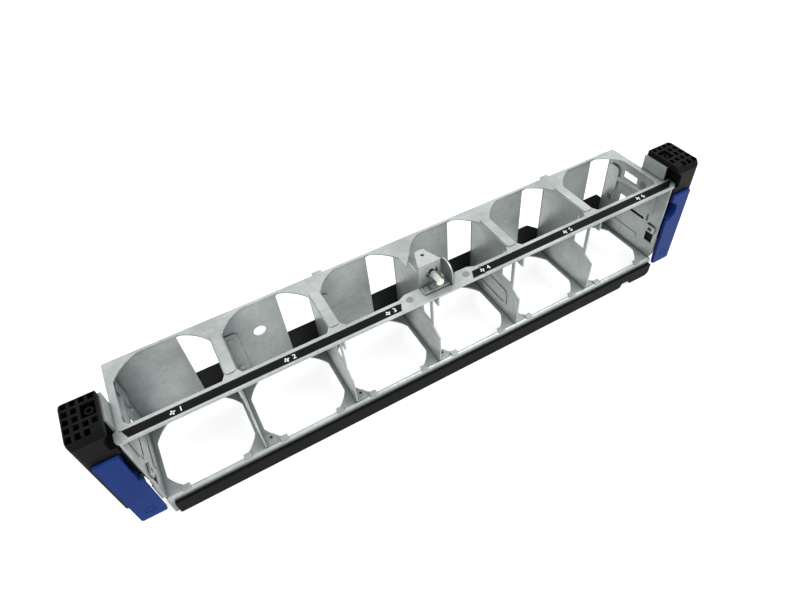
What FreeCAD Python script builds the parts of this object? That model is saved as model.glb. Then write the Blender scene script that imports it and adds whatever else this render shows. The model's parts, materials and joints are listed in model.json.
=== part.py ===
import FreeCAD, Part
import math
import os

# Fan cage of a two-unit server: six square bays in a row, made of zinc coated sheet steel,
# with a moulded end block and a blue release lever at each end.
# The model lies on one airflow face. X runs along the row of bays, the airflow axis is Z,
# and the fans slide in from the open side, which faces -Y.
# All sizes are in millimetres.

# Sheet metal box
bay_count = 6
bay_pitch = 65.0
sheet = 1.0
cage_depth = 61.0
cage_height = 69.0
flange_drop = 15.0
bend_radius = 2.0

# Airflow openings, cut as the fan's circle trimmed to a rectangle
fan_axis_inset = 31.7
fan_circle_radius = 32.3
upper_hole_width = 57.4
upper_hole_near_y = 10.6
upper_hole_far_margin = 1.8
lower_hole_width = 58.6
lower_hole_near_y = 2.4
lower_hole_far_margin = 5.0

# Rail along the front edge of the upper panel
rail_left_reach = 2.0
rail_right_reach = 9.4
rail_end_radius = 3.6
rail_chamfer = 6.4
rail_bead_width = 1.6
rail_bead_height = 0.5
rail_rear_margin = 1.9
label_near_y = 1.9
label_far_y = 7.6
label_thickness = 0.25
label_gap_left = 22.5
label_gap_right = 29.5
label_slant = 2.6
label_right_reach = 5.6
label_end_slant = 8.0

# Raised beads on the ribs between the upper openings
bead_width = 6.4
bead_height = 0.7
bead_near_y = 13.4
bead_far_y = 47.0
locating_lug_width = 7.0
locating_lug_reach = 2.6
locating_lug_offset = 9.0

# Back panel
window_from_divider = 43.6
window_side_gap = 0.7
window_low_z = 3.0
window_high_gap = 1.4
access_hole_radius = 4.3
access_hole_z = 42.0
access_hole_offset = 26.7

# Dividers
divider_notch_depth = 8.6
divider_notch_low = 29.0
divider_notch_slope = 3.2
divider_tab_drop = 8.8
divider_window_near = 11.0
divider_window_far = 21.4
divider_window_low = 35.4
divider_window_drop = 9.0
foot_length = 8.4
foot_width = 9.0
foot_hole_radius = 1.1
rear_flange_width = 11.8
rear_flange_low = 7.5
rear_flange_high = 50.0
rivet_low_z = 16.8
rivet_high_z = 44.4
rivet_offset = 6.8
rib_width = 6.0
rib_height = 1.2

# End plates
boss_height = 1.6
bead_radius = 3.0

# End brackets and blocks
bracket_sheet = 1.2
bracket_front_y = 9.4
bracket_rear_y = 30.4
bracket_rise = 11.0
bracket_low_z = 33.0
block_gap = 0.2
block_width = 19.5
block_depth = 30.0
block_drop = 6.8
block_rise = 15.0
block_wall = 1.7
block_wall_low_z = 10.6
skirt_wall = 3.0
skirt_low_z = 12.0
pocket_columns = 4
pocket_rows = 5
pocket_width = 3.0
pocket_length = 3.9
pocket_depth = 7.0
pocket_pitch_x = 4.7
pocket_pitch_y = 5.6
pocket_first_x = 2.7
pocket_first_y = 4.6
screw_boss_radius = 2.5

# Release levers
lever_gap = 0.4
lever_skin = 2.0
lever_front_y = -2.0
lever_low_z = -4.6
lever_wall = 1.5
lever_depth = 8.2
lever_step_z = 35.0
lever_step = 2.0
scoop_radius = 9.6
scoop_z = 46.8
scoop_inset = 2.6
scoop_wall = 1.2
scoop_depth = 8.0
pivot_y = 7.0
pivot_z = 27.0
pivot_radius = 1.75
pivot_clearance = 0.06
pivot_boss_radius = 4.6
pivot_ear_drop = 3.6

# Centre bracket and spring plunger
strap_left = -20.5
strap_right = 29.5
strap_near_y = 1.6
upright_left = -6.6
upright_right = 9.0
upright_y = 12.2
hood_rise = 18.6
hood_rear_y = 25.6
hood_hole_radius = 1.25
cheek_x = 12.4
cheek_radius = 7.6
cheek_near_y = 4.0
cheek_rise = 15.0
notch_near_y = 5.0
notch_far_y = 13.4
web_tip_y = 33.9
notch_right_front = 14.4
notch_right_rear = 20.0
strap_rivet_left = -16.4
strap_rivet_right = 25.0
strap_rivet_y = 7.6
plunger_x = 2.6
plunger_rise = 10.0
plunger_radius = 2.7
plunger_hole_radius = 4.3
plunger_tail_radius = 1.5
plunger_clearance = 0.06
plunger_travel = 4.0
plunger_nose_y = 1.2
plunger_step_y = 10.2
plunger_body_radius = 2.3
plunger_chamfer = 0.6
ring_radius = 5.3
ring_thickness = 0.9
spring_wire = 0.7
spring_coil_radius = 3.7
spring_turns = 5
side_flange_depth = 2.6
lip_rise = 1.3

# Fasteners
rivet_head_radius = 2.1
rivet_head_height = 0.45
rivet_dimple_radius = 1.1
rivet_dimple_depth = 0.3
rivet_shank_radius = 1.2
screw_head_radius = 2.4
screw_head_height = 1.1
screw_shank_radius = 1.4
screw_length = 6.0
block_screw_y = 24.4
block_screw_drop = 11.7
end_rivet_inset = 8.4
end_rivet_drop = 38.6

# Foam seal on the front flange and film on the back panel
seal_thickness = 2.4
seal_top_z = -3.4
seal_left = -192.4
seal_right = 195.0
seal_notch_x = 170.5
seal_notch_width = 9.5
seal_notch_height = 4.4
film_thickness = 0.4
film_top_z = 28.4
film_end_gap = 0.6
film_end_slope = 6.0
film_hole_gap = 0.4
film_dip_inset = 12.0

# Places worked out from the sizes above
half_row = bay_count * bay_pitch / 2.0
fan_axis_y = cage_depth - fan_axis_inset
upper_hole_far_y = cage_depth - upper_hole_far_margin
lower_hole_far_y = cage_depth - lower_hole_far_margin
divider_notch_high = cage_height - divider_tab_drop
divider_window_high = cage_height - divider_window_drop
window_high_z = cage_height - sheet - window_high_gap
bracket_top_z = cage_height + bracket_rise
block_low_z = cage_height - block_drop
block_top_z = cage_height + block_rise
hood_z = cage_height + hood_rise
cheek_top_z = cage_height + cheek_rise
plunger_z = cage_height + plunger_rise
block_screw_z = cage_height - block_screw_drop
end_rivet_y = cage_depth - end_rivet_inset
end_rivet_z = cage_height - end_rivet_drop
rail_y = label_far_y + rail_rear_margin
half_length = half_row + sheet / 2.0
upper_low_z = cage_height - sheet
back_inner_y = cage_depth - sheet
bracket_outer = half_length + bracket_sheet
block_inner = bracket_outer + block_gap
block_reach = block_inner + block_width
skirt_inner = block_reach - skirt_wall
lever_outer = skirt_inner - lever_gap
lever_inner = bracket_outer + lever_gap
lever_top_z = block_low_z - lever_gap
lug_y = cage_depth + locating_lug_reach
middle_y = (lug_y + min(lever_front_y, -seal_thickness)) / 2.0
shift = FreeCAD.Vector(0, -middle_y, flange_drop)


def vec(x, y, z):
    return FreeCAD.Vector(x, y, z)


def box(x0, x1, y0, y1, z0, z1):
    return Part.makeBox(x1 - x0, y1 - y0, z1 - z0, vec(x0, y0, z0))


def cylinder(radius, start, end):
    along = end - start
    return Part.makeCylinder(radius, along.Length, start, along)


def rounded_wire(points, to_space):
    # Each point is (u, v, corner radius). Corners become tangent arcs.
    corners = []
    count = len(points)
    for i, (u, v, radius) in enumerate(points):
        here = vec(u, v, 0)
        if radius == 0:
            corners.append((here, None, here))
            continue
        before = vec(points[i - 1][0], points[i - 1][1], 0) - here
        after = vec(points[(i + 1) % count][0], points[(i + 1) % count][1], 0) - here
        before.normalize()
        after.normalize()
        half = before.getAngle(after) / 2.0
        reach = radius / math.tan(half)
        bisector = before + after
        bisector.normalize()
        middle = here + bisector * (radius / math.sin(half) - radius)
        corners.append((here + before * reach, middle, here + after * reach))
    edges = []
    for i, (start, middle, end) in enumerate(corners):
        if middle is not None:
            edges.append(Part.Arc(to_space(start), to_space(middle), to_space(end)).toShape())
        following = corners[(i + 1) % count][0]
        if (following - end).Length > 1e-6:
            edges.append(Part.LineSegment(to_space(end), to_space(following)).toShape())
    return Part.Wire(edges)


def plate_z(points, z0, z1):
    wire = rounded_wire(points, lambda p: vec(p.x, p.y, z0))
    return Part.Face(wire).extrude(vec(0, 0, z1 - z0))


def plate_y(points, y0, y1):
    wire = rounded_wire(points, lambda p: vec(p.x, y0, p.y))
    return Part.Face(wire).extrude(vec(0, y1 - y0, 0))


def plate_x(points, x0, x1):
    wire = rounded_wire(points, lambda p: vec(x0, p.x, p.y))
    return Part.Face(wire).extrude(vec(x1 - x0, 0, 0))


def rectangle(u0, u1, v0, v1, radius=0):
    return [(u0, v0, radius), (u1, v0, radius), (u1, v1, radius), (u0, v1, radius)]


def joined(shapes):
    result = shapes[0]
    if len(shapes) > 1:
        result = result.fuse(shapes[1:])
    return result.removeSplitter()


def mirrored(shape):
    return shape.mirror(vec(0, 0, 0), vec(1, 0, 0))


def bay_centre(i):
    return -half_row + (i + 0.5) * bay_pitch


def divider_x(i):
    return -half_row + i * bay_pitch


def airflow_cutter(x, width, near_y, far_y, z0, z1):
    disc = Part.makeCylinder(fan_circle_radius, z1 - z0, vec(x, fan_axis_y, z0))
    return disc.common(box(x - width / 2, x + width / 2, near_y, far_y, z0, z1))


# Upper panel: airflow face with the label rail as its front margin
def upper_panel():
    left = -half_length
    right = half_length
    outline = [
        (left - rail_left_reach, 0, rail_end_radius),
        (right + rail_right_reach - rail_chamfer - 2.0, 0, 2.0),
        (right + rail_right_reach, rail_chamfer, 1.4),
        (right + rail_right_reach, rail_y, 0.8),
        (right, rail_y, 0.3),
        (right, cage_depth, 1.5),
        (left, cage_depth, 1.5),
        (left, rail_y, 0.3),
        (left - rail_left_reach, rail_y, 1.5),
    ]
    panel = plate_z(outline, upper_low_z, cage_height)
    holes = []
    for i in range(bay_count):
        holes.append(airflow_cutter(
            bay_centre(i), upper_hole_width, upper_hole_near_y, upper_hole_far_y,
            upper_low_z - 1, cage_height + 1))
    panel = panel.cut(holes)
    wide = [
        (strap_left - 4, upper_hole_near_y - 1, 0),
        (strap_left + 3, notch_far_y - 0.4, 1.0),
        (strap_right - 1, notch_far_y - 0.4, 1.0),
        (strap_right + 6, upper_hole_near_y - 1, 0),
    ]
    web = divider_x(bay_count // 2)
    web_half = (bay_pitch - upper_hole_width) / 2 + 0.2
    opened = [
        (web - web_half, web_tip_y, 0),
        (web + web_half, web_tip_y + 10.6, 0),
        (web + web_half, notch_far_y + 5, 0),
        (web + web_half + 3, notch_far_y - 0.6, 0),
        (web - web_half - 3, notch_far_y - 0.6, 0),
        (web - web_half, notch_far_y + 5, 0),
    ]
    panel = panel.cut(plate_z(opened, upper_low_z - 1, cage_height + 1))
    panel = panel.fuse(plate_z(wide, upper_low_z, cage_height))
    notch = [
        (upright_left - 0.3, notch_near_y, 1.0),
        (notch_right_front, notch_near_y, 1.5),
        (notch_right_rear, notch_far_y, 0),
        (upright_left - 0.3, notch_far_y, 0),
    ]
    panel = panel.cut(plate_z(notch, upper_low_z - 1, cage_height + 1))
    for x in (strap_rivet_left, strap_rivet_right):
        panel = panel.cut(cylinder(rivet_shank_radius, vec(x, strap_rivet_y, upper_low_z - 1),
                                   vec(x, strap_rivet_y, cage_height + 1)))
    for i in range(1, bay_count):
        x = divider_x(i)
        if i == bay_count // 2:
            continue
        bead = plate_z(rectangle(x - bead_width / 2, x + bead_width / 2, bead_near_y,
                                 bead_far_y, 1.6), cage_height, cage_height + bead_height)
        panel = panel.fuse(bead)
    for i in (2, 5):
        x = divider_x(i) + locating_lug_offset * (1 if i == 2 else 0)
        lug = plate_z(rectangle(x - locating_lug_width / 2, x + locating_lug_width / 2,
                                cage_depth - 1.0, lug_y, 0.9), upper_low_z, cage_height)
        panel = panel.fuse(lug)
    gaps = ((left - rail_left_reach + rail_end_radius, strap_left - 4),
            (strap_right + 6, right + rail_right_reach - 1.6))
    for x0, x1 in gaps:
        rear = plate_z(rectangle(x0, x1, label_far_y + 0.3, label_far_y + 0.3 + rail_bead_width,
                                 0.7), cage_height, cage_height + rail_bead_height)
        near_end = min(x1, right + rail_right_reach - rail_chamfer - 2.0)
        near = plate_z(rectangle(x0, near_end, 0.2, label_near_y - 0.2, 0.7),
                       cage_height, cage_height + rail_bead_height)
        panel = panel.fuse([rear, near])
    return panel.removeSplitter()


# Lower panel: airflow face with a flange along each long edge
def lower_panel():
    profile = [
        (0, -flange_drop, 0),
        (0, sheet, bend_radius),
        (cage_depth, sheet, bend_radius),
        (cage_depth, -flange_drop, 0),
        (back_inner_y, -flange_drop, 0),
        (back_inner_y, 0, bend_radius - sheet),
        (sheet, 0, bend_radius - sheet),
        (sheet, -flange_drop, 0),
    ]
    panel = plate_x(profile, -half_length, half_length)
    holes = []
    for i in range(bay_count):
        holes.append(airflow_cutter(
            bay_centre(i), lower_hole_width, lower_hole_near_y, lower_hole_far_y, -1, sheet + 1))
    panel = panel.cut(holes)
    bumps = []
    for i in range(bay_count + 1):
        for side in (-1, 1):
            x = divider_x(i) + side * 12.4
            if abs(x) < half_length - 3:
                bumps.append(plate_z(rectangle(x - 2.6, x + 2.6, 0.6, 4.6, 0.8),
                                     sheet - 0.1, sheet + 0.7))
    return panel.fuse(bumps).removeSplitter()


# Back panel: closed behind each fan, with a tall connector window beside every divider
def back_panel():
    panel = box(-half_length, half_length, back_inner_y, cage_depth, sheet, upper_low_z)
    cutters = []
    for i in range(bay_count):
        x0 = divider_x(i) + window_from_divider
        x1 = divider_x(i + 1) - window_side_gap
        cutters.append(plate_y(rectangle(x0, x1, window_low_z, window_high_z, 0.8),
                               back_inner_y - 1, cage_depth + 1))
    hole_x = divider_x(1) + access_hole_offset
    cutters.append(cylinder(access_hole_radius, vec(hole_x, back_inner_y - 1, access_hole_z),
                            vec(hole_x, cage_depth + 1, access_hole_z)))
    for i in range(1, bay_count):
        for z in (rivet_low_z, rivet_high_z):
            x = divider_x(i) + rivet_offset
            cutters.append(cylinder(rivet_shank_radius, vec(x, back_inner_y - 1, z),
                                    vec(x, cage_depth + 1, z)))
    return panel.cut(cutters)


# Divider between two bays, with the fan latch notch in its front edge
def divider(i):
    x0 = divider_x(i) - sheet / 2
    x1 = divider_x(i) + sheet / 2
    flange_front = back_inner_y - sheet
    top_z = upper_low_z
    outline = [
        (bend_radius, sheet, 0),
        (bend_radius - 1.5, sheet + 3, 0.5),
        (0.2, divider_notch_low, 0.8),
        (divider_notch_depth, divider_notch_low + divider_notch_slope, 1.2),
        (divider_notch_depth, divider_notch_high, 0.8),
        (0.3, divider_notch_high - 0.2, 0.4),
        (0.3, top_z, 0),
        (back_inner_y, top_z, 0),
        (back_inner_y, sheet, 0),
    ]
    web = plate_x(outline, x0, x1)
    window = plate_x(rectangle(divider_window_near, divider_window_far,
                               divider_window_low, divider_window_high, 1.5), x0 - 1, x1 + 1)
    web = web.cut(window)
    if i == bay_count // 2:
        web = web.cut(box(x0 - 1, x1 + 1, -1, notch_far_y + 1.0, top_z - sheet - 0.3, top_z + 1))
    foot = plate_z([
        (x0 + 0.2, bend_radius, 0),
        (x0 + 0.2 + foot_length, bend_radius, 0.8),
        (x0 + 0.2 + foot_length, bend_radius + foot_width - 2, 2.0),
        (x0 + 0.2, bend_radius + foot_width, 0),
    ], sheet, 2 * sheet)
    foot = foot.cut(cylinder(foot_hole_radius, vec(x1 + 4.4, 7.0, 0), vec(x1 + 4.4, 7.0, 4)))
    rear = plate_y([
        (x0 + 0.2, rear_flange_low, 0),
        (x1 + rear_flange_width, rear_flange_low, 3.0),
        (x1 + rear_flange_width, rear_flange_high, 3.0),
        (x0 + 0.2, rear_flange_high, 0),
    ], flange_front, back_inner_y)
    holes = []
    for z in (rivet_low_z, rivet_high_z):
        x = divider_x(i) + rivet_offset
        holes.append(cylinder(rivet_shank_radius, vec(x, flange_front - 1, z),
                              vec(x, cage_depth, z)))
    solid = joined([web, foot, rear.cut(holes)])
    if i == bay_count - 2:
        solid = solid.fuse(stiffening_rib(x0)).removeSplitter()
    return solid


# Pressed rib on one divider, raised towards the lower numbered bay
def stiffening_rib(face_x):
    outer = rectangle(13.6, 54.4, 9.0, 24.6, 4.0)
    inner = rectangle(13.6 + 2.2, 54.4 - 2.2, 9.0 + 2.2, 24.6 - 2.2, 2.0)
    ring = plate_x(outer, face_x - 0.6, face_x + 0.2)
    return ring.cut(plate_x(inner, face_x - 1, face_x + 1))


# Right end plate; the left one is its mirror image
def end_plate():
    x0 = half_length - sheet
    x1 = half_length
    outline = [
        (bend_radius, sheet, 0),
        (0.4, sheet + 3, 0.5),
        (0.4, upper_low_z, 0),
        (back_inner_y, upper_low_z, 0),
        (back_inner_y, sheet, 0),
    ]
    plate = plate_x(outline, x0, x1)
    boss_far = cage_depth - 2.4
    boss_top = cage_height - 9.6
    boss = plate_x(rectangle(boss_far - 10.6, boss_far, boss_top - 21.4, boss_top, 3.4),
                   x0 - boss_height, x0 + 0.2)
    bead_z = boss_top - 9.8
    bead = cylinder(bead_radius, vec(x0 + 1.4, 24.0, bead_z), vec(x0 + 1.4, boss_far - 8.0, bead_z))
    bead = bead.common(box(x0 - bead_radius, x0 + 0.2, 0, cage_depth, 0, cage_height))
    seat = cylinder(rivet_head_radius + 1.6, vec(x0 - 0.5, end_rivet_y, end_rivet_z),
                    vec(x0 + 0.2, end_rivet_y, end_rivet_z))
    low_rib = plate_x(rectangle(18.0, 46.0, 9.6, 14.0, 2.0), x0 - 0.5, x0 + 0.2)
    front_return = box(x1 - 0.2, bracket_outer, 0.4, 0.4 + sheet, sheet + 4, pivot_z - 6)
    front_rib = plate_x(rectangle(9.6, 14.6, 38.6, block_low_z - 7.0, 1.6), x0 - 0.5, x0 + 0.2)
    plate = plate.fuse([boss, bead, seat, low_rib, front_rib, front_return])
    cutters = [
        plate_x(rectangle(30.6, 44.0, block_low_z - 8.6, block_low_z - 2.8, 0.8), x0 - 4, x1 + 1),
        plate_x(rectangle(36.4, 43.0, 31.0, 38.6, 0.8), x0 - 4, x1 + 1),
        plate_x(rectangle(15.8, 30.0, 29.9, 32.3, 0.8), x0 - 4, x1 + 1),
        plate_x(rectangle(12.0, 13.4, 31.2, 37.4, 0.5), x0 - 4, x1 + 1),
        plate_x(rectangle(3.4, 10.6, 14.4, pivot_z + 4.0, 0.8), x0 - 4, x1 + 1),
        plate_x(rectangle(33.0, 34.2, 6.0, 8.4), x0 - 4, x1 + 1),
        cylinder(screw_shank_radius, vec(x0 - 4, block_screw_y, block_screw_z),
                 vec(x1 + 1, block_screw_y, block_screw_z)),
        cylinder(rivet_shank_radius, vec(x0 - 4, end_rivet_y, end_rivet_z),
                 vec(x1 + 1, end_rivet_y, end_rivet_z)),
    ]
    return plate.cut(cutters).removeSplitter()


# Right end bracket: carries the end block and one end of the lever pin
def end_bracket():
    x0 = half_length
    x1 = bracket_outer
    outline = [
        (2.4, bracket_low_z, 0.8),
        (pivot_y - pivot_boss_radius + 0.6, pivot_z, 0),
        (pivot_y - pivot_boss_radius + 0.6, pivot_z - pivot_ear_drop, 2.0),
        (pivot_y + pivot_boss_radius - 0.6, pivot_z - pivot_ear_drop, 2.0),
        (pivot_y + pivot_boss_radius - 0.6, pivot_z, 0),
        (bracket_front_y + 3.6, bracket_low_z, 1.0),
        (bracket_rear_y, bracket_low_z, 3.0),
        (bracket_rear_y, bracket_top_z, 1.0),
        (bracket_front_y + 1.0, bracket_top_z, 1.0),
        (bracket_front_y + 0.4, cage_height - 2, 0.6),
        (2.4, cage_height - 2, 1.0),
    ]
    bracket = plate_x(outline, x0, x1)
    lip = plate_y([
        (x0, bracket_top_z - sheet, 0),
        (x1 + block_gap + 1.6, bracket_top_z - sheet, 0),
        (x1 + block_gap + 1.6, bracket_top_z, 0),
        (x0, bracket_top_z, 0),
    ], bracket_front_y + 1.0, bracket_rear_y)
    bracket = bracket.fuse(lip)
    cutters = [
        cylinder(pivot_radius, vec(x0 - 1, pivot_y, pivot_z), vec(x1 + 1, pivot_y, pivot_z)),
        cylinder(screw_shank_radius, vec(x0 - 1, block_screw_y, block_screw_z),
                 vec(x1 + 1, block_screw_y, block_screw_z)),
    ]
    return bracket.cut(cutters).removeSplitter()


# Right end block: top with weight-saving pockets, rear wall and outer skirt round the lever
def end_block(rail_reach):
    x0 = block_inner
    x1 = block_reach
    top = plate_x([
        (0, block_low_z, 0),
        (block_depth, block_low_z, 0),
        (block_depth, block_top_z, 1.2),
        (3.4, block_top_z, 1.0),
        (0, block_top_z - 4.0, 1.0),
    ], x0, x1)
    side = plate_z([
        (x0, 0, 0.8),
        (x1 - 0.6, 0, 2.2),
        (x1, block_depth, 3.4),
        (x0, block_depth, 1.0),
    ], skirt_low_z, block_top_z)
    top = top.common(side)
    pockets = []
    for column in range(pocket_columns):
        for row in range(pocket_rows):
            corner = column == 0 and row == 0
            beside_boss = column < 2 and row in (2, 3)
            if corner or beside_boss:
                continue
            px = x0 + pocket_first_x + column * pocket_pitch_x
            py = pocket_first_y + row * pocket_pitch_y
            pockets.append(box(px - pocket_width / 2, px + pocket_width / 2,
                               py - pocket_length / 2, py + pocket_length / 2,
                               block_top_z - pocket_depth, block_top_z + 1))
    boss_x = x0 + pocket_first_x + pocket_pitch_x / 2
    boss_y = pocket_first_y + 2.5 * pocket_pitch_y
    half_x = (pocket_pitch_x + pocket_width) / 2
    half_y = (pocket_pitch_y + pocket_length) / 2
    well = box(boss_x - half_x, boss_x + half_x, boss_y - half_y, boss_y + half_y,
               block_top_z - pocket_depth, block_top_z + 1)
    boss = cylinder(screw_boss_radius, vec(boss_x, boss_y, block_top_z - pocket_depth - 1),
                    vec(boss_x, boss_y, block_top_z - 1.2))
    pockets.append(well.cut(boss))
    pockets.append(cylinder(screw_shank_radius, vec(boss_x, boss_y, block_top_z - pocket_depth),
                            vec(boss_x, boss_y, block_top_z + 1)))
    rail_gap = 0.5
    tip = half_length + rail_reach + rail_gap
    slot = [
        (x0 - 1, rail_y + rail_gap, 0),
        (x0 - 1, -1, 0),
        (tip, -1, 0),
        (tip, rail_y + rail_gap, 0.8),
    ]
    if rail_reach > rail_chamfer:
        slot[2:3] = [(tip - rail_chamfer - 3.0, -1, 0), (tip, rail_chamfer - 0.4, 1.0)]
    pockets.append(plate_z(slot, cage_height - sheet - rail_gap,
                           cage_height + rail_bead_height + rail_gap))
    pockets.append(plate_y([
        (x0 - 1, cage_height - 1, 0),
        (x0 + 3.6, cage_height - 1, 0),
        (x0 + 3.6, cage_height + 8.0, 3.0),
        (x0 + 1.0, cage_height + 10.6, 1.0),
        (x0 - 1, cage_height + 10.6, 0),
    ], -1, rail_y + rail_gap))
    pockets.append(box(x0 - 1, x0 + 2.0, bracket_front_y + 0.2, block_depth + 1,
                       bracket_top_z - sheet - 0.2, bracket_top_z + 0.4))
    top = top.cut(pockets)
    skirt = box(skirt_inner, x1, 0, block_depth, skirt_low_z, block_low_z + 1).common(side)
    rear_wall = box(x0, x1, block_depth - 2.4, block_depth, skirt_low_z, block_low_z + 1)
    rear_wall = rear_wall.common(side)
    pad = box(x0, x0 + 6.0, block_screw_y - 5.0, block_depth - 1,
              block_screw_z - 5.3, block_low_z + 1)
    inner_wall = box(x0 + 0.1, x0 + 0.1 + block_wall, 3.2, block_depth - 1,
                     lever_step_z + 1.0, block_low_z + 1)
    ear_low = pivot_z - pivot_ear_drop - lever_gap
    backing = plate_x([
        (2.8, block_wall_low_z, 0.8),
        (block_depth, block_wall_low_z, 1.0),
        (block_depth, bracket_low_z - lever_gap, 0),
        (pivot_y + pivot_boss_radius + 2.2, bracket_low_z - lever_gap, 0),
        (pivot_y + pivot_boss_radius + 2.2, ear_low, 0),
        (2.8, ear_low, 0.8),
    ], half_length + 0.1, bracket_outer)
    tie = box(half_length + 0.1, x0 + 2.0, block_depth - 2.4, block_depth,
              skirt_low_z, bracket_low_z - lever_gap)
    body = joined([top, skirt, rear_wall, pad, inner_wall, backing, tie])
    screw_end = x0 + screw_length - bracket_sheet - sheet
    body = body.cut([
        cylinder(screw_shank_radius, vec(x0 - 1, block_screw_y, block_screw_z),
                 vec(screw_end, block_screw_y, block_screw_z)),
        cylinder(pivot_radius, vec(skirt_inner - 1, pivot_y, pivot_z),
                 vec(x1 - 1.0, pivot_y, pivot_z)),
    ])
    return body.removeSplitter()


# Right release lever: a moulded channel with a finger scoop and a pivot bore
def release_lever(open_scoop):
    back_y = lever_front_y + lever_skin
    x0 = lever_inner
    x1 = lever_outer
    wall_x = lever_inner + lever_step
    outline = [
        (x0, lever_low_z, 1.4),
        (x1, lever_low_z, 1.4),
        (x1, lever_top_z, 0.5),
    ]
    if open_scoop:
        outline.append((x0, lever_top_z, 0.5))
    else:
        outline.append((wall_x, lever_top_z, 0.5))
        outline.append((wall_x, lever_step_z, 0.3))
        outline.append((x0, lever_step_z - 1.0, 0.5))
    skin = plate_y(outline, lever_front_y, back_y)
    wall_outline = [
        (lever_front_y + 0.2, lever_low_z + 1.0, 0),
        (back_y + 1.6, lever_low_z + 1.0, 0.8),
        (back_y + 2.4, pivot_z - 9.0, 3.0),
        (pivot_y + 1.0, pivot_z - pivot_boss_radius, 3.0),
        (pivot_y + pivot_boss_radius, pivot_z, 3.0),
        (lever_depth, pivot_z + 8.0, 3.0),
        (lever_depth, lever_top_z - 1.0, 1.2),
        (lever_front_y + 0.2, lever_top_z - 1.0, 0),
    ]
    inner_wall = plate_x(wall_outline, wall_x, wall_x + lever_wall)
    outer_wall = plate_x(wall_outline, x1 - lever_wall, x1)
    top_wall = box(wall_x, x1, lever_front_y + 0.2, lever_depth - 1.4,
                   lever_top_z - 2.4, lever_top_z - 0.6)
    body = joined([skin, inner_wall, outer_wall, top_wall])
    scoop_front = lever_front_y - 1 if open_scoop else back_y - 0.6
    scoop_x = x0 - scoop_inset
    scoop_floor = lever_front_y + scoop_depth
    scoop = cylinder(scoop_radius, vec(scoop_x, scoop_front, scoop_z),
                     vec(scoop_x, scoop_floor, scoop_z))
    dish = cylinder(scoop_radius + scoop_wall, vec(scoop_x, back_y - 0.6, scoop_z),
                    vec(scoop_x, scoop_floor + scoop_wall, scoop_z))
    shell = dish.cut(scoop).common(box(wall_x, x1 - lever_wall, lever_front_y,
                                       scoop_floor + scoop_wall, lever_low_z, lever_top_z - 1))
    body = body.cut(scoop).fuse(shell)
    bore = cylinder(pivot_radius + pivot_clearance, vec(x0 - 1, pivot_y, pivot_z),
                    vec(x1 + 1, pivot_y, pivot_z))
    mark = plate_y(rectangle((x0 + x1) / 2 - 3.0, (x0 + x1) / 2 + 3.0, 1.6, 6.6, 1.5),
                   lever_front_y - 1, lever_front_y + 0.25)
    mark_core = plate_y(rectangle((x0 + x1) / 2 - 2.3, (x0 + x1) / 2 + 2.3, 2.3, 5.9, 1.0),
                        lever_front_y - 2, lever_front_y + 1)
    return body.cut([bore, mark.cut(mark_core)]).removeSplitter()


def lever_pin():
    pin = cylinder(pivot_radius, vec(half_length + 0.2, pivot_y, pivot_z),
                   vec(block_reach - 1.2, pivot_y, pivot_z))
    return pin


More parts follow.
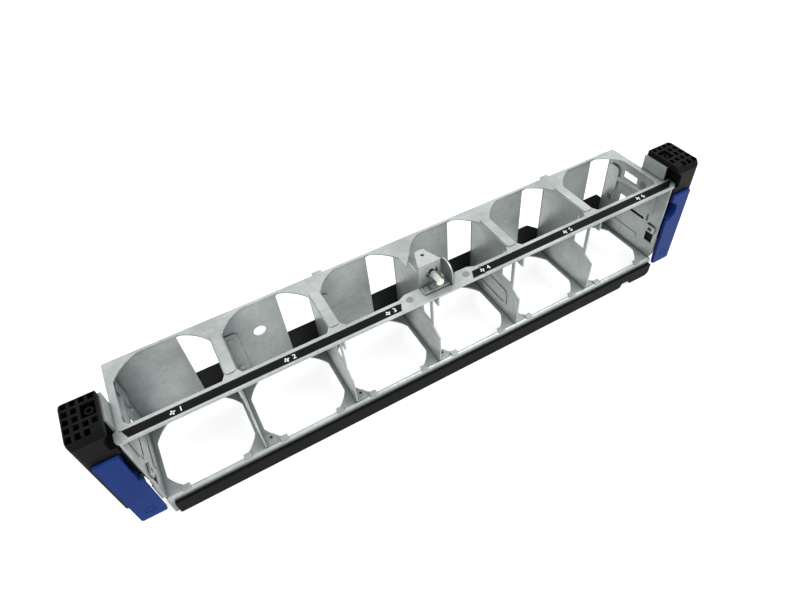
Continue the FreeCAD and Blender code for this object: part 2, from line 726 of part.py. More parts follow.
# Strap riveted under the rail, folded up into the plunger's hood
def centre_bracket():
    low = upper_low_z - sheet
    high = upper_low_z
    strap = plate_z([
        (strap_left, strap_near_y, 1.0),
        (strap_right, strap_near_y, 1.0),
        (strap_right, notch_far_y - 1.2, 1.0),
        (strap_left, notch_far_y - 1.2, 1.0),
    ], low, high)
    upright = plate_y([
        (upright_left, low, 0),
        (upright_right, low, 0),
        (upright_right, hood_z, 0),
        (upright_left, hood_z, 0),
    ], upright_y, upright_y + sheet)
    hood = plate_z([
        (upright_left, upright_y, 0.6),
        (upright_right, upright_y, 0.6),
        (upright_right - 5.0, hood_rear_y, 1.6),
        (upright_left + 4.6, hood_rear_y, 3.0),
    ], hood_z - sheet, hood_z)
    leg_half = plunger_tail_radius + 1.2
    leg = plate_y([
        (plunger_x - leg_half, plunger_z - leg_half - 0.6, 1.2),
        (plunger_x + leg_half, plunger_z - leg_half - 0.6, 1.2),
        (plunger_x + leg_half, hood_z - 0.5, 0),
        (plunger_x - leg_half, hood_z - 0.5, 0),
    ], hood_rear_y - sheet, hood_rear_y)
    cheek_far_y = cheek_near_y + 2 * cheek_radius + 0.2
    cheek = plate_x([
        (cheek_near_y, cage_height + 0.2, 0.6),
        (cheek_far_y, cage_height + 0.2, 0.6),
        (cheek_far_y, cheek_top_z, cheek_radius),
        (cheek_near_y, cheek_top_z, cheek_radius),
    ], cheek_x, cheek_x + sheet)
    side_far_y = upright_y + side_flange_depth
    side_flange = plate_x([
        (upright_y, cage_height + 0.4, 0),
        (side_far_y - 1.0, cage_height + 0.4, 0.6),
        (side_far_y, cage_height + 5.0, 2.0),
        (side_far_y - 1.2, cage_height + 9.0, 2.0),
        (side_far_y, hood_z - 2.0, 2.0),
        (upright_y, hood_z - 0.4, 0),
    ], upright_left, upright_left + sheet)
    base_high = cage_height + 0.3
    base = box(upright_left, cheek_x + sheet, notch_near_y + 0.3, upright_y + sheet,
               high - 0.5, base_high)
    pads = []
    for x in (upright_left + 3.4, upright_left + 7.6):
        pads.append(plate_z(rectangle(x - 1.5, x + 1.5, notch_near_y + 1.9, upright_y - 0.8, 0.6),
                            base_high - 0.1, base_high + 0.5))
    front_lip = box(upright_left + 0.6, cheek_x + sheet, notch_near_y + 0.3,
                    notch_near_y + 1.3, high - 0.5, cage_height + lip_rise)
    body = joined([strap, upright, hood, leg, cheek, side_flange, base, front_lip] + pads)
    cutters = [
        cylinder(plunger_hole_radius, vec(plunger_x, upright_y - 1, plunger_z),
                 vec(plunger_x, upright_y + sheet + 1, plunger_z)),
        cylinder(plunger_tail_radius + plunger_clearance,
                 vec(plunger_x, hood_rear_y - 2, plunger_z),
                 vec(plunger_x, hood_rear_y + 1, plunger_z)),
        cylinder(hood_hole_radius, vec(1.1, hood_rear_y - 5.1, hood_z - 2),
                 vec(1.1, hood_rear_y - 5.1, hood_z + 1)),
    ]
    for x in (strap_rivet_left, strap_rivet_right):
        cutters.append(cylinder(rivet_shank_radius, vec(x, strap_rivet_y, low - 1),
                                vec(x, strap_rivet_y, high + 1)))
    return body.cut(cutters).removeSplitter()


def plunger_pin():
    body_end = hood_rear_y - sheet - plunger_travel - 0.8
    nose = cylinder(plunger_radius, vec(plunger_x, plunger_nose_y, plunger_z),
                    vec(plunger_x, plunger_step_y, plunger_z))
    nose = nose.makeChamfer(plunger_chamfer, [nose.Edges[edge_at(nose, plunger_nose_y)]])
    body = cylinder(plunger_body_radius, vec(plunger_x, plunger_step_y, plunger_z),
                    vec(plunger_x, body_end, plunger_z))
    tail = cylinder(plunger_tail_radius, vec(plunger_x, body_end, plunger_z),
                    vec(plunger_x, hood_rear_y + 2.4, plunger_z))
    return joined([nose, body, tail])


def edge_at(shape, y):
    for i, edge in enumerate(shape.Edges):
        if edge.BoundBox.YLength < 1e-6 and abs(edge.BoundBox.YMin - y) < 1e-6:
            return i
    return 0


def plunger_ring():
    start = upright_y + sheet + 0.3
    ring = cylinder(ring_radius, vec(plunger_x, start, plunger_z),
                    vec(plunger_x, start + ring_thickness, plunger_z))
    bore = cylinder(plunger_body_radius, vec(plunger_x, start - 1, plunger_z),
                    vec(plunger_x, start + 2, plunger_z))
    slot = box(plunger_x - 1.2, plunger_x + 1.2, start - 1, start + 2,
               plunger_z - ring_radius - 1, plunger_z)
    return ring.cut([bore, slot])


# Compression spring, each half turn revolved in a plane tilted by a quarter of the pitch
def plunger_spring():
    wire = spring_wire / 2
    first = upright_y + sheet + 0.3 + ring_thickness + wire + 0.04
    last = hood_rear_y - sheet - wire - 0.04
    rise = (last - first) / (2 * spring_turns)
    turns = []
    for i in range(2 * spring_turns):
        side = 1 if i % 2 == 0 else -1
        start = vec(plunger_x + side * spring_coil_radius, first + i * rise, plunger_z)
        end = vec(plunger_x - side * spring_coil_radius, first + (i + 1) * rise, plunger_z)
        middle = (start + end) / 2
        chord = end - start
        axis = chord.cross(vec(0, 0, 1))
        section = Part.Face(Part.Wire(Part.makeCircle(wire, start, vec(0, 0, 1))))
        turns.append(section.revolve(middle, axis * side, 180))
    return turns[0].fuse(turns[1:]).removeSplitter()


def label(x0, x1, slant0, slant1):
    return plate_z([
        (x0 + slant0, label_near_y, 0),
        (x1 - slant1, label_near_y, 0),
        (x1, label_far_y, 0),
        (x0, label_far_y, 0),
    ], cage_height, cage_height + label_thickness)


# Rivet with a head on each side of the sheets it joins
def rivet(start, end, direction):
    shank = cylinder(rivet_shank_radius, start, end)
    low_head = cylinder(rivet_head_radius, start - direction * rivet_head_height, start)
    high_head = cylinder(rivet_head_radius, end, end + direction * rivet_head_height)
    top = end + direction * rivet_head_height
    dimple = cylinder(rivet_dimple_radius, top - direction * rivet_dimple_depth,
                      top + direction)
    return joined([shank, low_head, high_head]).cut(dimple)


def strap_rivets():
    rivets = []
    for x in (strap_rivet_left, strap_rivet_right):
        rivets.append(rivet(vec(x, strap_rivet_y, upper_low_z - sheet),
                            vec(x, strap_rivet_y, cage_height), vec(0, 0, 1)))
    return Part.Compound(rivets)


def divider_rivets():
    rivets = []
    for i in range(1, bay_count):
        for z in (rivet_low_z, rivet_high_z):
            x = divider_x(i) + rivet_offset
            rivets.append(rivet(vec(x, back_inner_y - sheet, z),
                                vec(x, cage_depth, z), vec(0, 1, 0)))
    return Part.Compound(rivets)


def end_plate_rivets():
    right = rivet(vec(half_length, end_rivet_y, end_rivet_z),
                  vec(half_length - sheet - 0.5, end_rivet_y, end_rivet_z), vec(-1, 0, 0))
    return Part.Compound([right, mirrored(right)])


def block_screws():
    start = vec(half_length - sheet, block_screw_y, block_screw_z)
    head = cylinder(screw_head_radius, start - vec(screw_head_height, 0, 0), start)
    shank = cylinder(screw_shank_radius, start, start + vec(screw_length, 0, 0))
    slot = box(start.x - screw_head_height - 1, start.x - screw_head_height + 0.5,
               start.y - 1.6, start.y + 1.6, start.z - 0.3, start.z + 0.3)
    cross = box(start.x - screw_head_height - 1, start.x - screw_head_height + 0.5,
                start.y - 0.3, start.y + 0.3, start.z - 1.6, start.z + 1.6)
    screw = joined([head, shank]).cut([slot, cross])
    return Part.Compound([screw, mirrored(screw)])


# Foam strip on the front flange, with a small cable notch near the right end
def front_seal():
    low = -flange_drop + 0.3
    x0 = seal_notch_x - seal_notch_width / 2
    x1 = seal_notch_x + seal_notch_width / 2
    return plate_y([
        (seal_left, low, 0.8),
        (x0, low, 1.0),
        (x0 + 1.2, low + seal_notch_height, 1.2),
        (x1 - 1.6, low + seal_notch_height, 1.6),
        (x1, low, 1.6),
        (seal_right, low, 4.2),
        (seal_right, seal_top_z, 0.8),
        (seal_left, seal_top_z, 0.8),
    ], -seal_thickness, 0)


# Insulating film over the lower part of the back panel
def rear_film():
    dip_left = divider_x(bay_count - 1) - film_dip_inset
    dip_right = divider_x(bay_count - 1) + window_from_divider - 3.0
    film = plate_y([
        (-half_length + film_end_gap, sheet + 0.6, 1.0),
        (half_length - film_end_gap, sheet + 0.6, 1.0),
        (half_length - film_end_gap, film_top_z - film_end_slope, 1.0),
        (half_length - film_end_gap - film_end_slope, film_top_z, 2.0),
        (dip_right, film_top_z, 3.0),
        (dip_right - 2.0, film_top_z - 9.0, 3.0),
        (dip_left + film_dip_inset, film_top_z - 9.0, 2.0),
        (dip_left, film_top_z, 5.0),
        (-half_length + film_end_gap, film_top_z, 4.0),
    ], cage_depth, cage_depth + film_thickness)
    holes = []
    for i in range(1, bay_count):
        x = divider_x(i) + rivet_offset
        holes.append(cylinder(rivet_head_radius + film_hole_gap,
                              vec(x, cage_depth - 1, rivet_low_z),
                              vec(x, cage_depth + 1, rivet_low_z)))
    return film.cut(holes)


def save(name, shape):
    placed = shape.copy()
    placed.translate(shift)
    solids = placed.Solids
    volume = sum(solid.Volume for solid in solids)
    print(name, len(solids), round(volume, 2), placed.isValid())
    placed.exportStep("parts/" + name + ".step")


os.makedirs("parts", exist_ok=True)

save("upper_panel", upper_panel())
save("lower_panel", lower_panel())
save("back_panel", back_panel())
for number in range(1, bay_count):
    save("divider_%d" % number, divider(number))
save("end_plate_right", end_plate())
save("end_plate_left", mirrored(end_plate()))
save("end_bracket_right", end_bracket())
save("end_bracket_left", mirrored(end_bracket()))
save("end_block_right", end_block(rail_right_reach))
save("end_block_left", mirrored(end_block(rail_left_reach)))
save("release_lever_right", release_lever(True))
save("release_lever_left", mirrored(release_lever(False)))
save("lever_pin_right", lever_pin())
save("lever_pin_left", mirrored(lever_pin()))
save("centre_bracket", centre_bracket())
save("plunger_pin", plunger_pin())
save("plunger_ring", plunger_ring())
save("plunger_spring", plunger_spring())
save("label_left", label(-half_length + 2.8, -label_gap_left, label_slant, label_slant))
save("label_right", label(label_gap_right, half_length + label_right_reach, -label_slant,
                          label_end_slant))
save("strap_rivets", strap_rivets())
save("divider_rivets", divider_rivets())
save("end_plate_rivets", end_plate_rivets())
save("block_screws", block_screws())
save("front_seal", front_seal())
save("rear_film", rear_film())
print("middle_y", middle_y)
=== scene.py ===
import json
import math

import bmesh
import bpy
from mathutils import Euler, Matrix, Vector


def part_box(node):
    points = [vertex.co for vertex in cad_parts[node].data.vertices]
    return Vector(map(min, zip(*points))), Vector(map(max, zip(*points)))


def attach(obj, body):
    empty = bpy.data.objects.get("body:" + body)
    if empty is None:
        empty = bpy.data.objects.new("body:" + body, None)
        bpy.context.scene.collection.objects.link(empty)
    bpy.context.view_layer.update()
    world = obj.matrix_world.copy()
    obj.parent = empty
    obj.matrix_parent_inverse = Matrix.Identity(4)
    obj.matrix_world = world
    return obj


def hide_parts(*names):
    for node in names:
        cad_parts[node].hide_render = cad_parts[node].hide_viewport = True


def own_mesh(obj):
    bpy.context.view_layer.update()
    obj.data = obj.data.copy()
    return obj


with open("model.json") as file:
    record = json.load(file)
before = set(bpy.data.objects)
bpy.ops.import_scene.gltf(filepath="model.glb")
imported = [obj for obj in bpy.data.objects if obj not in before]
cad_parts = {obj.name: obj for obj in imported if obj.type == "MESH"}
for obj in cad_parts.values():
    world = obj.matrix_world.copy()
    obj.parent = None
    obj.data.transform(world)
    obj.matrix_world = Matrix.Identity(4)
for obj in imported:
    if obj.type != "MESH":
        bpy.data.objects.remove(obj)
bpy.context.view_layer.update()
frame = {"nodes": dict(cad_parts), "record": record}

MM = 0.001

# The CAD source's own frame starts at the lower panel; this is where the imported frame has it
PANEL_Y = -30.6 * MM
PANEL_Z = 15.0 * MM
SMOOTH_BELOW = math.radians(30)
scene = bpy.context.scene
scene.view_settings.view_transform = "Standard"


# Node tree helpers
class Tree:
    """A short way to build a material's node tree."""

    def __init__(self, name):
        self.material = bpy.data.materials.new(name)
        self.material.use_nodes = True
        self.nodes = self.material.node_tree.nodes
        self.links = self.material.node_tree.links
        self.nodes.clear()
        self.out = self.add("ShaderNodeOutputMaterial")

    def add(self, kind, **values):
        node = self.nodes.new(kind)
        for key, value in values.items():
            setattr(node, key, value)
        return node

    def link(self, source, target):
        self.links.new(source, target)

    def put(self, node, name, value):
        """Sets a socket to a number or links it to another socket."""
        socket = node.inputs[name]
        if isinstance(value, bpy.types.NodeSocket):
            self.links.new(value, socket)
        else:
            socket.default_value = value

    def place(self):
        return self.add("ShaderNodeTexCoord").outputs["Object"]

    def noise(self, vector, scale, detail=4.0, rough=0.55, distortion=0.0):
        node = self.add("ShaderNodeTexNoise")
        self.put(node, "Vector", vector)
        self.put(node, "Scale", scale)
        self.put(node, "Detail", detail)
        self.put(node, "Roughness", rough)
        self.put(node, "Distortion", distortion)
        return node.outputs["Fac"]

    def stretch(self, vector, scale):
        node = self.add("ShaderNodeMapping")
        self.put(node, "Vector", vector)
        self.put(node, "Scale", scale)
        return node.outputs["Vector"]

    def ramp(self, value, stops):
        node = self.add("ShaderNodeValToRGB")
        self.put(node, "Fac", value)
        elements = node.color_ramp.elements
        while len(elements) < len(stops):
            elements.new(0.5)
        for element, (position, colour) in zip(elements, stops):
            element.position = position
            element.color = (*colour, 1.0)
        return node.outputs["Color"]

    def span(self, value, low, high, from_low=0.0, from_high=1.0):
        node = self.add("ShaderNodeMapRange")
        self.put(node, "Value", value)
        self.put(node, "From Min", from_low)
        self.put(node, "From Max", from_high)
        self.put(node, "To Min", low)
        self.put(node, "To Max", high)
        return node.outputs["Result"]

    def mix(self, factor, first, second, kind="MIX"):
        node = self.add("ShaderNodeMix", data_type="RGBA", blend_type=kind)
        self.put(node, "Factor", factor)
        for index, value in ((6, first), (7, second)):
            if isinstance(value, bpy.types.NodeSocket):
                self.links.new(value, node.inputs[index])
            else:
                node.inputs[index].default_value = (*value, 1.0)
        return node.outputs[2]

    def bump(self, height, strength, distance, normal=None):
        node = self.add("ShaderNodeBump")
        self.put(node, "Height", height)
        self.put(node, "Strength", strength)
        self.put(node, "Distance", distance)
        if normal is not None:
            self.put(node, "Normal", normal)
        return node.outputs["Normal"]

    def times_plus(self, value, factor, added):
        node = self.add("ShaderNodeMath", operation="MULTIPLY_ADD")
        for index, part in enumerate((value, factor, added)):
            self.put(node, index, part)
        return node.outputs[0]

    def times(self, first, second):
        node = self.add("ShaderNodeMath", operation="MULTIPLY")
        self.put(node, 0, first)
        self.put(node, 1, second)
        return node.outputs[0]

    def dot(self, first, second):
        node = self.add("ShaderNodeVectorMath", operation="DOT_PRODUCT")
        self.link(first, node.inputs[0])
        self.link(second, node.inputs[1])
        return node.outputs["Value"]

    def edges(self, radius, low=0.97, high=0.72):
        """A normal that rounds sharp edges, and a mask that is 1 on them."""
        bevel = self.add("ShaderNodeBevel", samples=6)
        self.put(bevel, "Radius", radius)
        plain = self.add("ShaderNodeNewGeometry").outputs["Normal"]
        alike = self.dot(bevel.outputs["Normal"], plain)
        return bevel.outputs["Normal"], self.span(alike, 0.0, 1.0, low, high)

    def hollow(self, distance, low, high):
        """1 in the open and 0 in corners and gaps, by how much of the nearby space is free; used
        to paint shade into those corners and gaps.
        """
        node = self.add("ShaderNodeAmbientOcclusion", samples=6)
        self.put(node, "Distance", distance)
        return self.span(node.outputs["AO"], 0.0, 1.0, low, high)

    def finish(self, colour, metallic, roughness, normal=None, **extra):
        shader = self.add("ShaderNodeBsdfPrincipled")
        if not isinstance(colour, bpy.types.NodeSocket):
            colour = (*colour, 1.0)
        self.put(shader, "Base Color", colour)
        self.put(shader, "Metallic", metallic)
        self.put(shader, "Roughness", roughness)
        if normal is not None:
            self.put(shader, "Normal", normal)
        for key, value in extra.items():
            self.put(shader, key.replace("_", " "), value)
        self.link(shader.outputs["BSDF"], self.out.inputs["Surface"])
        return self.material


def zinc_sheet(name, dark, light, edge, metallic, rough_low, rough_high):
    """Zinc coated sheet: faint crystal mottling, rolling streaks along X, soft handling marks, a
    painted highlight along the edges that is patchy like wear, and painted shade in gaps and deep
    corners.
    """
    tree = Tree(name)
    place = tree.place()
    rounded, rim = tree.edges(0.00035)
    crystal = tree.add("ShaderNodeTexVoronoi", feature="F1")
    warped = tree.noise(place, 260.0, 2.0)
    vector = tree.add("ShaderNodeVectorMath", operation="MULTIPLY_ADD")
    tree.put(vector, 0, place)
    tree.put(vector, 1, (1.0, 1.0, 1.0))
    tree.link(tree.span(warped, -0.0012, 0.0012), vector.inputs[2])
    tree.put(crystal, "Vector", vector.outputs["Vector"])
    tree.put(crystal, "Scale", 420.0)
    shade = tree.add("ShaderNodeSeparateColor")
    tree.put(shade, "Color", crystal.outputs["Color"])
    spangle = shade.outputs["Red"]
    streak = tree.noise(tree.stretch(place, (12.0, 260.0, 260.0)), 3.0, 5.0, 0.6)
    cloud = tree.noise(place, 22.0, 4.0, 0.6)
    fine = tree.noise(place, 1900.0, 3.0, 0.6)
    mottled = tree.times_plus(spangle, 0.16, tree.span(cloud, 0.1, 0.75, 0.3, 0.7))
    tone = tree.times_plus(streak, 0.3, tree.span(mottled, -0.1, 0.9))
    colour = tree.ramp(tone, [(0.15, dark), (0.85, light)])
    scuff = tree.noise(tree.stretch(place, (420.0, 60.0, 300.0)), 1.0, 6.0, 0.7)
    # The pale edge colour goes on scuffs as handling wear, then along the edges as a painted
    # highlight that is patchy like wear
    colour = tree.mix(tree.span(scuff, 0.0, 0.35, 0.66, 0.82), colour, edge)
    rim_wear_and_highlight = tree.times(rim, tree.span(cloud, 0.35, 0.95, 0.3, 0.7))
    colour = tree.mix(rim_wear_and_highlight, colour, edge)
    # Painted shade: darker in narrow gaps and creases, then darker again deep in the cage's
    # corners
    shaded = tree.mix(1.0, colour, (0.10, 0.11, 0.115), "MULTIPLY")
    colour = tree.mix(tree.hollow(0.0028, 0.2, 0.78), shaded, colour)
    painted_deep_shade = tree.mix(1.0, colour, (0.25, 0.285, 0.293), "MULTIPLY")
    colour = tree.mix(tree.hollow(0.035, 0.15, 0.85), painted_deep_shade, colour)
    rough = tree.span(mottled, rough_high, rough_low)
    bumped = tree.bump(fine, 0.10, 0.00006, rounded)
    bumped = tree.bump(streak, 0.05, 0.0001, bumped)
    return tree.finish(colour, metallic, rough, bumped)


def turned_steel(name, colour, roughness):
    """Turned or headed steel with fine rings along Y."""
    tree = Tree(name)
    place = tree.place()
    rounded = tree.edges(0.00015)[0]
    ring = tree.noise(tree.stretch(place, (200.0, 2400.0, 200.0)), 1.0, 4.0, 0.6)
    cloud = tree.noise(place, 300.0, 3.0)
    darker = tuple(c * 0.8 for c in colour)
    shade = tree.mix(cloud, darker, colour)
    rough = tree.span(cloud, roughness * 0.8, roughness * 1.3, 0.3, 0.7)
    return tree.finish(shade, 1.0, rough, tree.bump(ring, 0.08, 0.00008, rounded))


def moulded(name, dark, light, roughness, grain=0.25, specular=0.3, radius=0.00045, rub_and_highlight=1.5,
            reach=0.004):
    """Moulded plastic with a fine spark-eroded grain, faint flow marks, edges lightened partly as
    rubbed wear and partly as a painted highlight, and painted shade in corners and gaps.
    """
    tree = Tree(name)
    place = tree.place()
    rounded, rim = tree.edges(radius)
    grains = tree.noise(place, 2600.0, 3.0, 0.65)
    cloud = tree.noise(place, 45.0, 4.0, 0.6)
    scuff = tree.noise(tree.stretch(place, (90.0, 90.0, 700.0)), 1.0, 5.0, 0.65)
    tone = tree.mix(tree.span(cloud, 0.0, 1.0, 0.35, 0.65), dark, light)
    marks = tree.span(scuff, 0.0, 0.3, 0.62, 0.8)
    # The pale colour goes on random scuffs as wear, and along the edges partly as wear and partly
    # as a painted highlight
    pale = tuple(min(1.0, c * rub_and_highlight + 0.004) for c in light)
    tone = tree.mix(marks, tone, pale)
    rim_wear_and_highlight = tree.times(rim, tree.span(cloud, 0.1, 0.6, 0.4, 0.65))
    tone = tree.mix(rim_wear_and_highlight, tone, pale)
    # Painted shade in corners and gaps
    shaded = tree.mix(1.0, tone, (0.35, 0.35, 0.36), "MULTIPLY")
    tone = tree.mix(tree.hollow(reach, 0.2, 0.8), shaded, tone)
    rough = tree.span(cloud, roughness * 0.9, roughness * 1.15, 0.3, 0.7)
    normal = tree.bump(grains, grain, 0.00005, rounded)
    return tree.finish(tone, 0.0, rough, normal, Specular_IOR_Level=specular)


def foam(name):
    """Closed black foam with fine cells."""
    tree = Tree(name)
    place = tree.place()
    cells = tree.add("ShaderNodeTexVoronoi", feature="DISTANCE_TO_EDGE")
    tree.put(cells, "Vector", place)
    tree.put(cells, "Scale", 1500.0)
    cloud = tree.noise(place, 120.0, 4.0)
    tone = tree.mix(cloud, (0.002, 0.002, 0.0024), (0.006, 0.006, 0.0064))
    normal = tree.bump(cells.outputs["Distance"], 0.5, 0.0002)
    return tree.finish(tone, 0.0, 0.62, normal, Specular_IOR_Level=0.1)


zinc = zinc_sheet("zinc_sheet", (0.31, 0.342, 0.337), (0.545, 0.585, 0.576), (0.90, 0.93, 0.922),
                  metallic=0.42, rough_low=0.30, rough_high=0.44)
steel = turned_steel("turned_steel", (0.80, 0.77, 0.70), 0.2)
dull_steel = turned_steel("dull_steel", (0.56, 0.58, 0.58), 0.36)
rivet_steel = turned_steel("rivet_steel", (0.40, 0.41, 0.41), 0.34)
# The black plastic's edges are lightened strongly, partly as wear and partly as a painted
# highlight on its ribs
black = moulded("black_plastic", (0.0025, 0.0025, 0.0028), (0.0055, 0.0055, 0.0058), 0.46,
                grain=0.25, specular=0.08, radius=0.0005, rub_and_highlight=3.8)
blue = moulded("blue_plastic", (0.009, 0.038, 0.212), (0.0145, 0.051, 0.256), 0.42,
               grain=0.2, specular=0.08, rub_and_highlight=1.3, reach=0.008)
label_face = moulded("label_face", (0.005, 0.005, 0.005), (0.009, 0.009, 0.0092), 0.42,
                     grain=0.08, specular=0.07, radius=0.0001)
film = moulded("film", (0.006, 0.006, 0.0065), (0.010, 0.010, 0.011), 0.5,
               grain=0.1, specular=0.15, radius=0.0001)
foam_strip = foam("foam_strip")
print_white = moulded("print_white", (0.72, 0.73, 0.72), (0.85, 0.85, 0.84), 0.5,
                      grain=0.1, specular=0.2, radius=0.00005, rub_and_highlight=1.0)

SLOT_MATERIALS = {
    "zinc_sheet": zinc, "steel": steel, "black_plastic": black, "blue_plastic": blue,
    "label": label_face, "foam": foam_strip, "film": film,
}
NODE_MATERIALS = {name: rivet_steel for name in (
    "strap_rivets", "divider_rivets", "end_plate_rivets", "block_screws", "lever_pin_left",
    "lever_pin_right")}


# Pieces
def body_of_node(node):
    for body, members in frame["record"]["behaviour"]["bodies"].items():
        if node in members:
            return body
    return None


def slot_of_node(node):
    for row in frame["record"]["subparts"]:
        if row["node"] == node:
            return row["material_slot"]
    return None


def add_piece(name, mesh, material, body):
    mesh.materials.clear()
    mesh.materials.append(material)
    piece = bpy.data.objects.new(name, mesh)
    scene.collection.objects.link(piece)
    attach(piece, body)
    return piece


def shade(work):
    """Smooth faces that meet at a small angle, sharp edges elsewhere."""
    for edge in work.edges:
        edge.smooth = len(edge.link_faces) == 2 and edge.calc_face_angle() < SMOOTH_BELOW
    for face in work.faces:
        face.smooth = True


def mesh_of(thing):
    """The plain mesh of a curve or text, which is then dropped."""
    view = bpy.context.evaluated_depsgraph_get()
    view.update()
    mesh = bpy.data.meshes.new_from_object(thing.evaluated_get(view))
    mesh.transform(thing.matrix_world)
    bpy.data.objects.remove(thing)
    return mesh


# Every CAD node gets its material
for name, node in frame["nodes"].items():
    node.data.materials.clear()
    node.data.materials.append(NODE_MATERIALS.get(name, SLOT_MATERIALS[slot_of_node(name)]))


# The lower panel, its rear flange cut to the short lip that the photo allows
def short_rear_lip(node, lip):
    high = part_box(node)[1]
    mesh = frame["nodes"][node].data.copy()
    work = bmesh.new()
    work.from_mesh(mesh)
    bmesh.ops.remove_doubles(work, verts=work.verts, dist=0.000002)
    behind = high[1] - 2.5 * MM
    lip_z = PANEL_Z - lip
    rear = [f for f in work.faces if all(v.co.y > behind for v in f.verts)]
    rear = [f for f in rear if min(v.co.z for v in f.verts) < lip_z]
    parts_cut = set(rear)
    for face in rear:
        parts_cut.update(face.edges)
        parts_cut.update(face.verts)
    bmesh.ops.bisect_plane(work, geom=list(parts_cut), plane_co=(0, 0, lip_z),
                           plane_no=(0, 0, -1), clear_outer=True)
    rim = [e for e in work.edges if len(e.link_faces) == 1]
    bmesh.ops.edgeloop_fill(work, edges=rim)
    bmesh.ops.recalc_face_normals(work, faces=work.faces)
    shade(work)
    work.to_mesh(mesh)
    work.free()
    piece = add_piece(node + "_sheet", mesh, zinc, body_of_node(node))
    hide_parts(node)


short_rear_lip("lower_panel", 5.5 * MM)


# The pressed strap that crosses each end plate's window and holds the inner end of the lever pin
CORNER_STEPS = 5


def rounded_loop(y_low, y_high, z_low, z_high, radius):
    """Points of a rectangle with round corners, in turn from its upper rear corner."""
    points = []
    corners = [(y_high, z_high, 0), (y_low, z_high, 1), (y_low, z_low, 2), (y_high, z_low, 3)]
    for y, z, quarter in corners:
        centre_y = y + (-radius if quarter in (0, 3) else radius)
        centre_z = z + (-radius if quarter in (0, 1) else radius)
        for step in range(CORNER_STEPS):
            angle = math.radians(90 * quarter + 90 / (CORNER_STEPS - 1) * step)
            points.append((centre_y + radius * math.cos(angle),
                           centre_z + radius * math.sin(angle)))
    return points


def pin_strap(name, side):
    face, back, bevel = 192.95 * MM, 194.55 * MM, 0.22 * MM
    outer = rounded_loop(PANEL_Y + 2.6 * MM, PANEL_Y + 11.4 * MM,
                         PANEL_Z + 24.2 * MM, PANEL_Z + 29.9 * MM, 0.9 * MM)
    inner = rounded_loop(PANEL_Y + 5.1 * MM, PANEL_Y + 8.7 * MM,
                         PANEL_Z + 25.6 * MM, PANEL_Z + 28.4 * MM, 0.4 * MM)
    work = bmesh.new()
    loops = []
    for x, ring, drawn_in in ((back, outer, 0), (face + bevel, outer, 0), (face, outer, 0.03),
                              (face, inner, -0.03), (face + bevel, inner, 0), (back, inner, 0)):
        middle_y = sum(y for y, z in ring) / len(ring)
        middle_z = sum(z for y, z in ring) / len(ring)
        loops.append([work.verts.new((side * x, middle_y + (y - middle_y) * (1 - drawn_in),
                                      middle_z + (z - middle_z) * (1 - drawn_in)))
                      for y, z in ring])
    for near, far in zip(loops, loops[1:] + loops[:1]):
        for i in range(len(near)):
            j = (i + 1) % len(near)
            work.faces.new((near[i], near[j], far[j], far[i]))
    bmesh.ops.recalc_face_normals(work, faces=work.faces)
    shade(work)
    mesh = bpy.data.meshes.new(name)
    work.to_mesh(mesh)
    work.free()
    add_piece(name, mesh, zinc, "cage")


pin_strap("pin_strap_left", -1)
pin_strap("pin_strap_right", 1)


def wire_spring():
    low, high = (Vector(corner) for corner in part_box("plunger_spring"))
    wire = 0.35 * MM
    middle = (low + high) / 2
    radius = (high.x - low.x) / 2 - wire
    start = low.y + wire
    run = high.y - low.y - 2 * wire
    turns = 6.5
    closed = 1.0
    steps_per_turn = 20
    steps = int(turns * steps_per_turn)
    curve = bpy.data.curves.new("spring_line", "CURVE")
    curve.dimensions = "3D"
    curve.bevel_depth = wire
    curve.bevel_resolution = 3
    spline = curve.splines.new("NURBS")
    spline.points.add(steps)
    for i in range(steps + 1):
        turn = turns * i / steps
        active = min(max(turn - closed, 0.0), turns - 2 * closed) / (turns - 2 * closed)
        ends = 2 * wire * (min(turn, closed) + max(turn - (turns - closed), 0.0)) / closed
        along = start + ends + (run - 4 * wire) * active
        angle = 2 * math.pi * turn
        spline.points[i].co = (middle.x + radius * math.cos(angle), along,
                               middle.z + radius * math.sin(angle), 1.0)
    spline.order_u = 3
    spline.use_endpoint_u = True
    line = bpy.data.objects.new("spring_line", curve)
    scene.collection.objects.link(line)
    piece = add_piece("plunger_spring_wire", mesh_of(line), dull_steel,
                      body_of_node("plunger_spring"))
    for face in piece.data.polygons:
        face.use_smooth = True
    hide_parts("plunger_spring")
    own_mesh(piece)


wire_spring()


# White marks on the two labels: a plain fan sign and the bay's number
MARK_X = {1: -163.8, 2: -97.1, 3: -31.0, 4: 37.6, 5: 104.3, 6: 168.8}
SIGN_LEFT = 2.1 * MM
SIGN_RADIUS = 1.75 * MM
NUMBER_RIGHT = 2.6 * MM
NUMBER_HEIGHT = 4.6 * MM
PRINT_RISE = 0.03 * MM
BLADE = [(0.12, -0.10), (0.45, -0.30), (0.86, -0.18), (1.0, 0.16), (0.72, 0.34), (0.34, 0.20)]


def fan_sign(centre, size):
    work = bmesh.new()
    for blade in range(4):
        turn = math.radians(90 * blade + 18)
        work.faces.new([
            work.verts.new((centre[0] + size * (x * math.cos(turn) - y * math.sin(turn)),
                            centre[1] + size * (x * math.sin(turn) + y * math.cos(turn)),
                            centre[2]))
            for x, y in BLADE])
    mesh = bpy.data.meshes.new("sign")
    work.to_mesh(mesh)
    work.free()
    return mesh


def bay_number(bay, place):
    words = bpy.data.curves.new("number", "FONT")
    words.body = str(bay)
    words.size = NUMBER_HEIGHT
    words.offset = 0.06 * MM
    words.align_x = "CENTER"
    words.align_y = "CENTER"
    thing = bpy.data.objects.new("number", words)
    thing.location = place
    scene.collection.objects.link(thing)
    return mesh_of(thing)


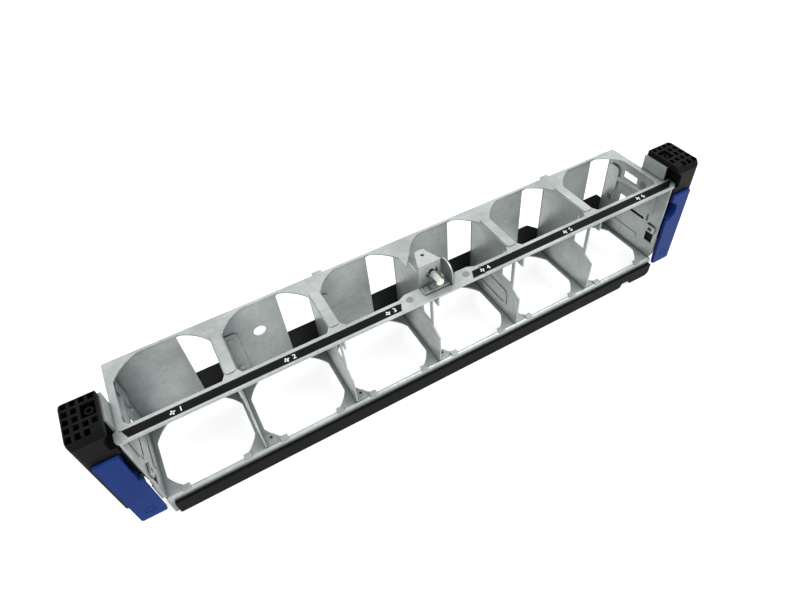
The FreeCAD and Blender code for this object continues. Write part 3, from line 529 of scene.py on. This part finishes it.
for bay, mark_x in MARK_X.items():
    label = "label_left" if bay <= 3 else "label_right"
    low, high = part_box(label)
    middle_y = (low[1] + high[1]) / 2
    top_z = high[2] + PRINT_RISE
    sign = fan_sign((mark_x * MM - SIGN_LEFT, middle_y, top_z), SIGN_RADIUS)
    add_piece("fan_sign_%d" % bay, sign, print_white, body_of_node(label))
    number = bay_number(bay, (mark_x * MM + NUMBER_RIGHT, middle_y, top_z))
    add_piece("bay_number_%d" % bay, number, print_white, body_of_node(label))

# Floor, lights and camera
def seen_rays(nodes, links):
    """1 for rays that show the background: the camera's, and those off metal or through glass."""
    rays = nodes.new("ShaderNodeLightPath")
    total = rays.outputs["Is Camera Ray"]
    for kind in ("Is Glossy Ray", "Is Transmission Ray"):
        larger = nodes.new("ShaderNodeMath")
        larger.operation = "MAXIMUM"
        links.new(total, larger.inputs[0])
        links.new(rays.outputs[kind], larger.inputs[1])
        total = larger.outputs[0]
    return total


floor_mesh = bpy.data.meshes.new("floor")
half = 6.0
floor_mesh.from_pydata([(-half, -half, 0), (half, -half, 0), (half, half, 0), (-half, half, 0)],
                       [], [(0, 1, 2, 3)])
floor = bpy.data.objects.new("floor", floor_mesh)
scene.collection.objects.link(floor)
floor.location = (0, 0, -0.0006)
floor_tree = Tree("floor_paper")
# Pale paper; the rays that show the background see it lifted to white, with its shadow
paper = floor_tree.add("ShaderNodeBsdfDiffuse")
paper.inputs["Color"].default_value = (0.5, 0.5, 0.5, 1.0)
glow = floor_tree.add("ShaderNodeEmission")
lift = floor_tree.times(seen_rays(floor_tree.nodes, floor_tree.links), 0.72)
floor_tree.put(glow, "Strength", lift)
both = floor_tree.add("ShaderNodeAddShader")
floor_tree.link(paper.outputs[0], both.inputs[0])
floor_tree.link(glow.outputs[0], both.inputs[1])
floor_tree.link(both.outputs[0], floor_tree.out.inputs["Surface"])
floor_mesh.materials.append(floor_tree.material)

# Soft studio sky, bright overhead and dim at the horizon, plain white where it is seen
world = bpy.data.worlds.new("studio")
scene.world = world
world.use_nodes = True
sky_nodes = world.node_tree.nodes
sky_links = world.node_tree.links
sky = sky_nodes["Background"]
where = sky_nodes.new("ShaderNodeTexCoord")
parts = sky_nodes.new("ShaderNodeSeparateXYZ")
sky_links.new(where.outputs["Generated"], parts.inputs[0])
level = sky_nodes.new("ShaderNodeValToRGB")
sky_links.new(parts.outputs["Z"], level.inputs["Fac"])
level.color_ramp.elements[0].position = 0.0
level.color_ramp.elements[0].color = (0.06, 0.06, 0.06, 1.0)
level.color_ramp.elements[1].position = 0.79
level.color_ramp.elements[1].color = (1.0, 1.0, 1.0, 1.0)
middle_stop = level.color_ramp.elements.new(0.4)
middle_stop.color = (0.24, 0.24, 0.24, 1.0)
sky_links.new(level.outputs["Color"], sky.inputs["Color"])
sky.inputs["Strength"].default_value = 1.18
white_sky = sky_nodes.new("ShaderNodeBackground")
white_sky.inputs["Color"].default_value = (1.0, 1.0, 1.0, 1.0)
white_sky.inputs["Strength"].default_value = 1.0
choice = sky_nodes.new("ShaderNodeMixShader")
sky_links.new(seen_rays(sky_nodes, sky_links), choice.inputs["Fac"])
sky_links.new(sky.outputs[0], choice.inputs[1])
sky_links.new(white_sky.outputs[0], choice.inputs[2])
sky_links.new(choice.outputs[0], sky_nodes["World Output"].inputs["Surface"])


def softbox(name, place, target, size, power):
    light = bpy.data.lights.new(name, "AREA")
    light.shape = "RECTANGLE"
    light.size = size[0]
    light.size_y = size[1]
    light.energy = power
    lamp = bpy.data.objects.new(name, light)
    scene.collection.objects.link(lamp)
    lamp.location = place
    direction = Vector(target) - Vector(place)
    lamp.rotation_euler = direction.to_track_quat("-Z", "Y").to_euler()
    return lamp


softbox("key", (0.55, -0.45, 1.3), (0.03, 0, 0.05), (0.9, 0.7), 10.4)
softbox("fill", (-0.8, -0.4, 1.0), (0, 0, 0.05), (0.8, 0.8), 3.0)

camera_data = bpy.data.cameras.new("camera")
camera = bpy.data.objects.new("camera", camera_data)
scene.collection.objects.link(camera)
camera_data.sensor_width = 36.0
camera_data.lens = 26.049
camera.location = (-0.122206, -0.242452, 0.345475)
camera.rotation_euler = Euler([math.radians(a) for a in (42.88296, 4.24124, -28.88859)])
scene.camera = camera
